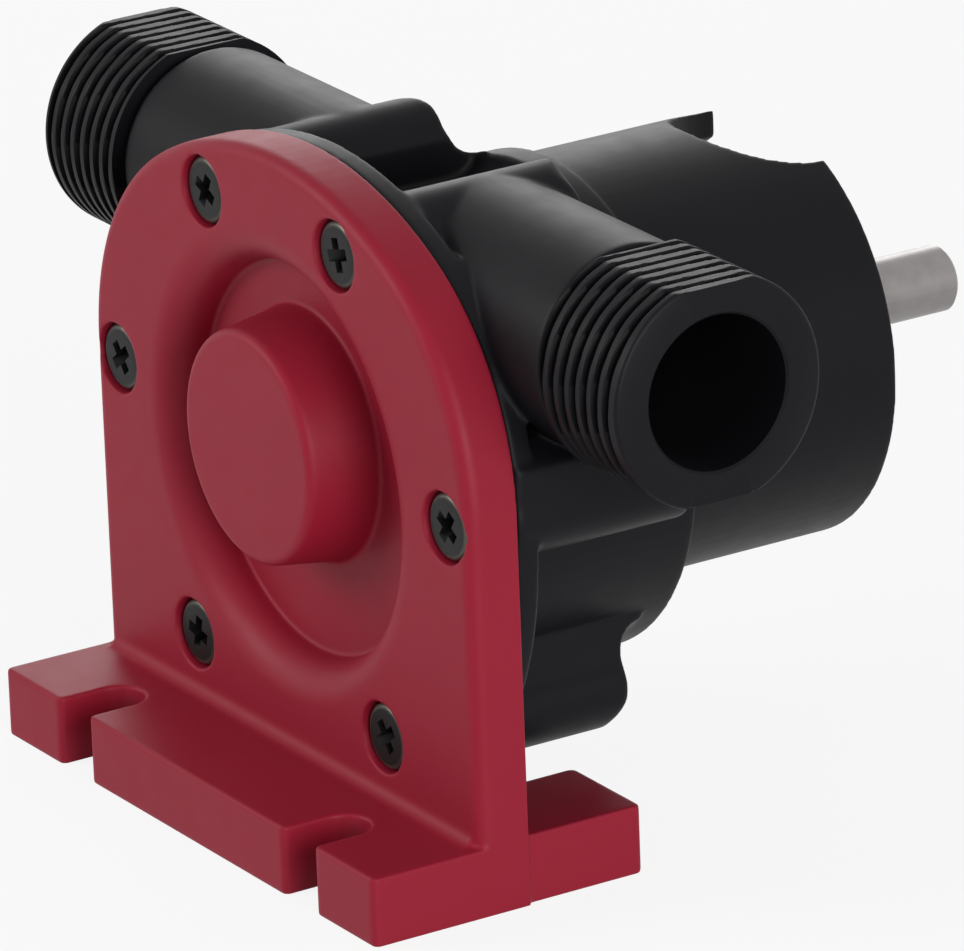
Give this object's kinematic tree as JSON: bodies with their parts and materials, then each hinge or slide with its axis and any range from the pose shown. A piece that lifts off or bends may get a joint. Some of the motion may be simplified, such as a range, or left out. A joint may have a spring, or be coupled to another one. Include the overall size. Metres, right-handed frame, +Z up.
{
  "type": "drill powered pump",
  "caption": "Small water pump turned by an electric drill: foot-mounted cover, housing with hose ports and shaft guard, flexible impeller on a steel shaft.",
  "frame": {"origin": "on the underside of the foot, in the plane of symmetry, below the cover's front face", "axes": "+Y along the drive shaft towards its free end, +Z up from the bench, +X towards the right hose port"},
  "size_m": [0.124, 0.1062, 0.0797],
  "materials": {
    "front_cover": "satin moulded plastic",
    "pump_housing": "satin moulded plastic",
    "black_steel": "black oxide",
    "seal_rubber": "moulded rubber",
    "bronze": "sintered bronze",
    "steel": "ground steel",
    "cage_brass": "pressed brass",
    "spring_steel": "phosphated spring steel",
    "impeller_rubber": "moulded nitrile rubber",
    "washer_plastic": "acetal"
  },
  "bodies": {
    "pump": {"front_cover": "front_cover", "cover_screws": "black_steel", "cover_o_ring": "seal_rubber", "pump_housing": "pump_housing", "front_bush": "bronze", "seal_case": "steel", "seal_lip": "seal_rubber", "seal_spring": "steel", "bearing_outer_race": "steel", "bearing_shields": "steel", "bearing_circlip": "spring_steel"},
    "rotor": {"drive_shaft": "steel", "drive_pin": "steel", "impeller_hub": "bronze", "impeller": "impeller_rubber", "thrust_washers": "washer_plastic", "bearing_inner_race": "steel", "shaft_circlips": "spring_steel"},
    "ball_set": {"bearing_balls": "steel", "bearing_cage": "cage_brass"}
  },
  "joints": [
    {"name": "shaft_spin", "type": "hinge", "parent": "pump", "child": "rotor", "pos_m": [0, 0.0425, 0.0453], "axis": [0, 1, 0], "continuous": true, "deforming": ["impeller"]},
    {"name": "ball_set_spin", "type": "hinge", "parent": "pump", "child": "ball_set", "pos_m": [0, 0.0425, 0.0453], "axis": [0, 1, 0], "continuous": true}
  ],
  "couplings": [
    {"joint": "ball_set_spin", "follows": "shaft_spin", "ratio": 0.3677}
  ]
}
